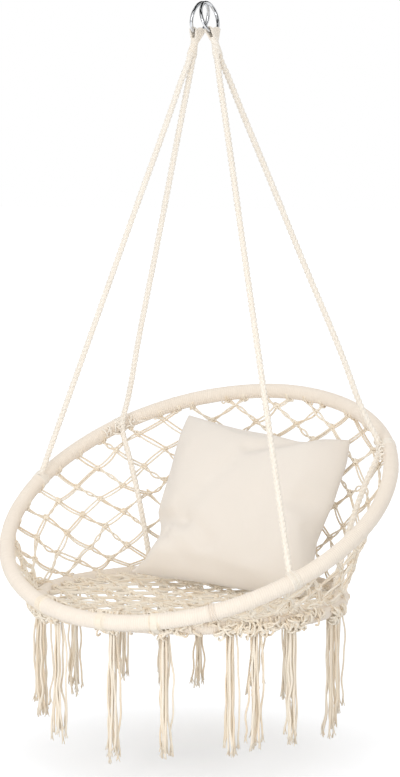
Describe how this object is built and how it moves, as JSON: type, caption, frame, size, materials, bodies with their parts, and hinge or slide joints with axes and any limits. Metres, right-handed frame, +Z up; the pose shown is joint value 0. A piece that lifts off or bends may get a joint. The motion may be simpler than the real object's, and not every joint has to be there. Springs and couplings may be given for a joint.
{
  "type": "hammock chair",
  "caption": "Hanging macrame swing chair: a slanted and a level cord-wrapped hoop joined by a knotted net, with tassels, a loose cushion and ropes from hanging rings.",
  "frame": {"origin": "where a hook bears, inside the tops of the two hanging rings", "axes": "+Z up, -Y the way the sitter faces, +X to the right in the front view"},
  "size_m": [0.8148, 0.7126, 1.4155],
  "materials": {
    "chrome_ring": "polished",
    "steel_tube": "plain",
    "wrap_cord": "matte cotton cord, closely wound",
    "net_cord": "matte cotton cord, knotted",
    "rope": "matte twisted cotton rope",
    "cushion_cloth": "matte woven cover"
  },
  "bodies": {
    "rings": {"ring_left": "chrome_ring", "ring_right": "chrome_ring"},
    "rope_eyes": {"rope_eye_left": "rope", "seizing_left": "rope", "rope_eye_right": "rope", "seizing_right": "rope"},
    "chair": {"big_hoop_tube": "steel_tube", "big_hoop_wrap": "wrap_cord", "seat_hoop_tube": "steel_tube", "seat_hoop_wrap": "wrap_cord", "rope_front_left": "rope", "rope_front_right": "rope", "rope_back_left": "rope", "rope_back_right": "rope", "back_net_1": "net_cord", "back_net_2": "net_cord", "back_net_3": "net_cord", "back_net_4": "net_cord", "back_net_5": "net_cord", "back_net_6": "net_cord", "back_net_7": "net_cord", "back_net_8": "net_cord", "seat_net": "net_cord", "front_lashing_left": "net_cord", "front_lashing_middle": "net_cord", "front_lashing_right": "net_cord", "tassel_01": "net_cord", "tassel_02": "net_cord", "tassel_03": "net_cord", "tassel_04": "net_cord", "tassel_05": "net_cord", "tassel_06": "net_cord", "tassel_07": "net_cord", "tassel_08": "net_cord", "tassel_09": "net_cord", "tassel_10": "net_cord", "tassel_11": "net_cord", "tassel_12": "net_cord", "tassel_13": "net_cord", "tassel_14": "net_cord", "tassel_15": "net_cord", "tassel_16": "net_cord"},
    "cushion": {"cushion": "cushion_cloth"}
  },
  "joints": [
    {"name": "fore_aft_swing", "type": "hinge", "parent": "rings", "child": "rope_eyes", "pos_m": [0, 0, -0.02528], "axis": [1, 0, 0], "range_deg": [-20, 20]},
    {"name": "side_swing", "type": "hinge", "parent": "rope_eyes", "child": "chair", "pos_m": [0, 0, -0.09648], "axis": [0, 1, 0], "range_deg": [-8, 8]},
    {"name": "cushion_lift", "type": "slide", "parent": "chair", "child": "cushion", "axis": [0, -0.5, 0.866], "range_m": [0, 0.25]}
  ]
}
